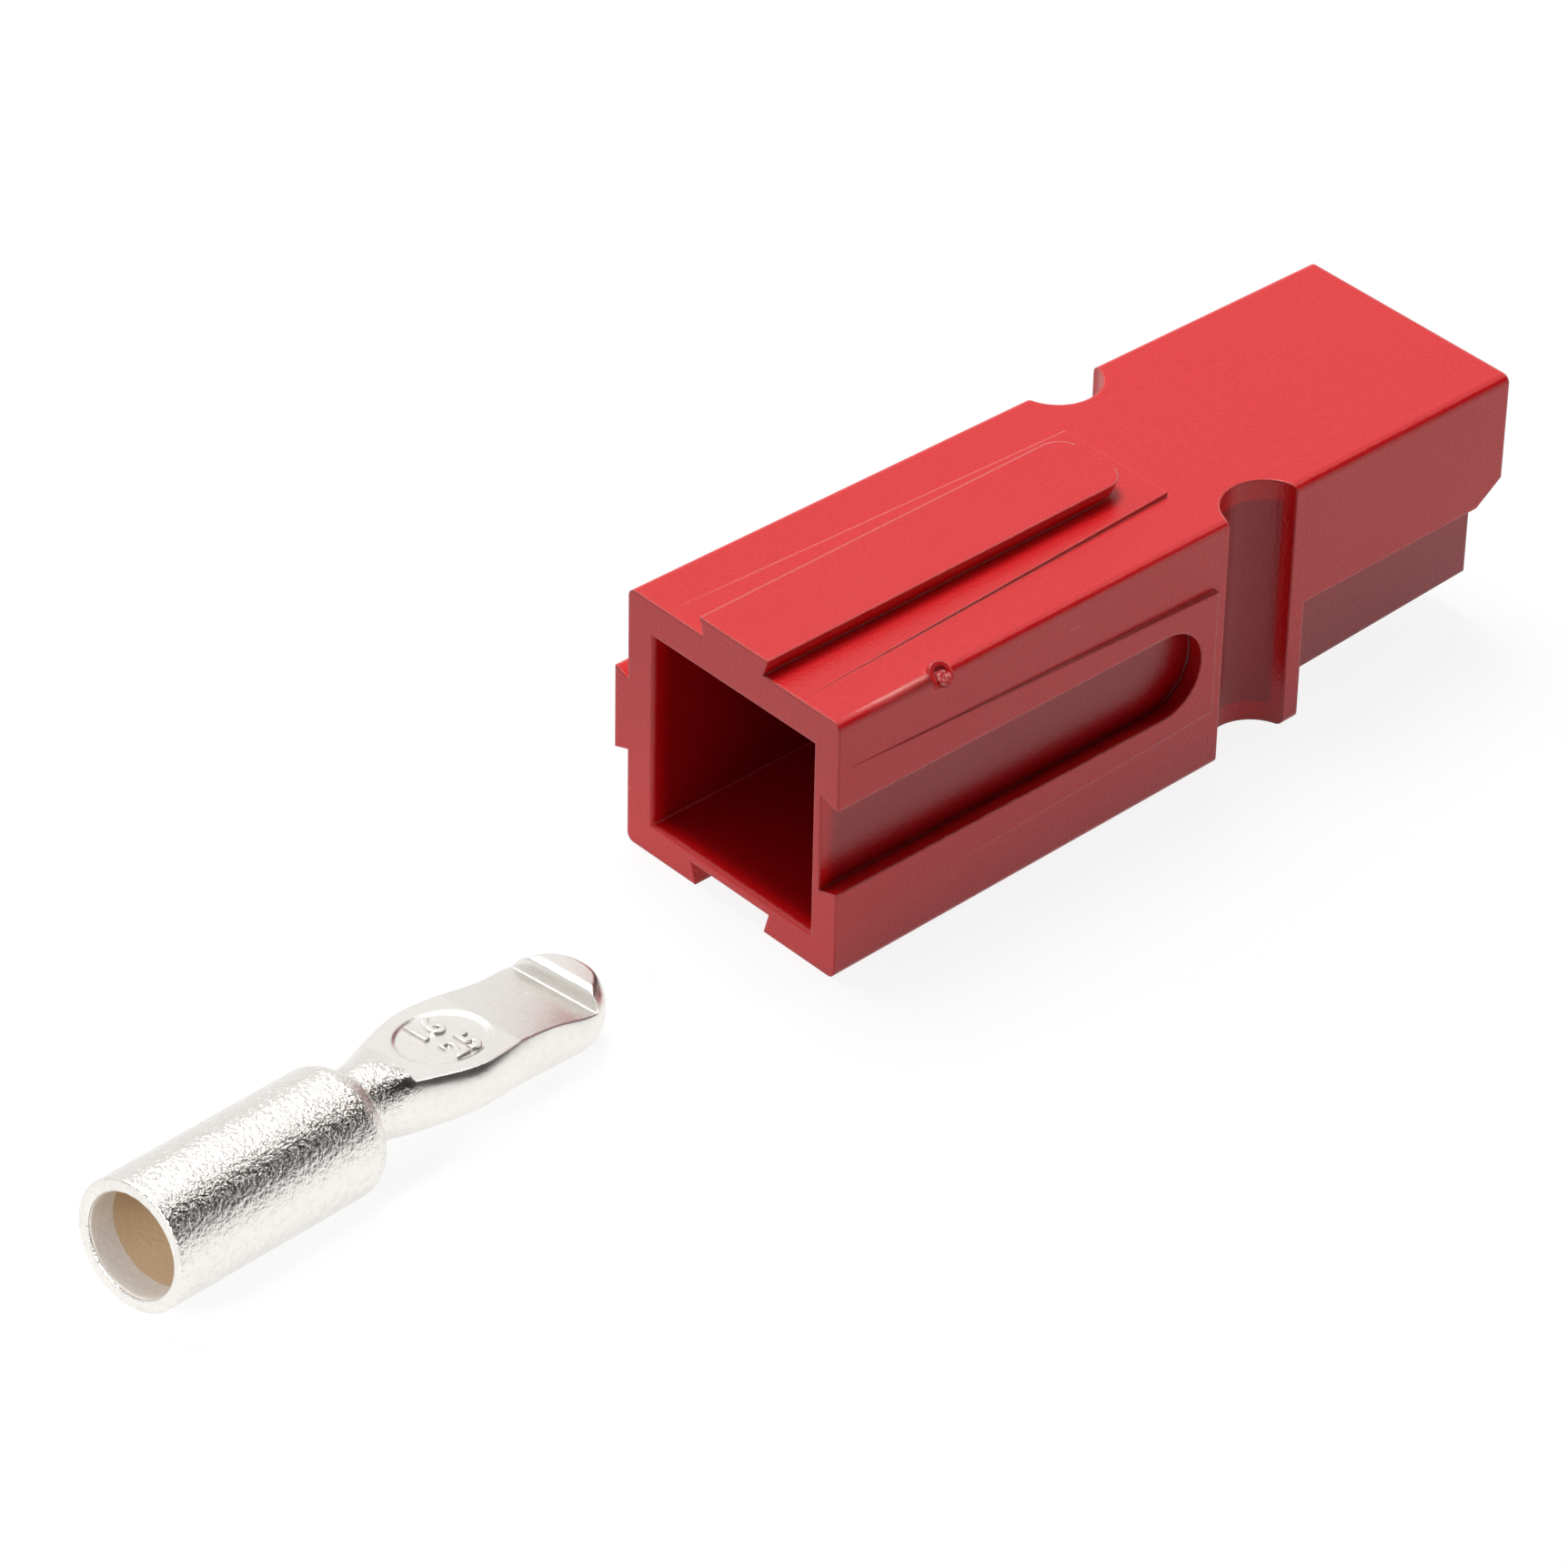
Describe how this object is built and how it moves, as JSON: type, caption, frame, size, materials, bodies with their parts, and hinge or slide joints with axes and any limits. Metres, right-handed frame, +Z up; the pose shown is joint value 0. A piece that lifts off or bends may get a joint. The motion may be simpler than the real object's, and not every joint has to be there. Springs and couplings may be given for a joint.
{
  "type": "genderless power connector",
  "caption": "Genderless power connector pole: square moulded housing with dovetail keys and slots, hooded mating end and leaf spring, with its loose silver crimp contact.",
  "frame": {"origin": "centre of the footprint of both pieces, on the surface they lie on", "axes": "+X along the housing from its wire entry to its mating end, +Z up to the top of the hood, +Y to the left side seen from behind, the side with the second key"},
  "size_m": [0.0918, 0.018, 0.0168],
  "materials": {
    "housing": "satin moulded red polycarbonate",
    "contact": "bright silver plating over copper, slightly grainy",
    "spring": "satin stainless strip"
  },
  "bodies": {
    "root": {"housing": "housing", "contact": "contact", "retention_spring": "spring"}
  },
  "joints": []
}
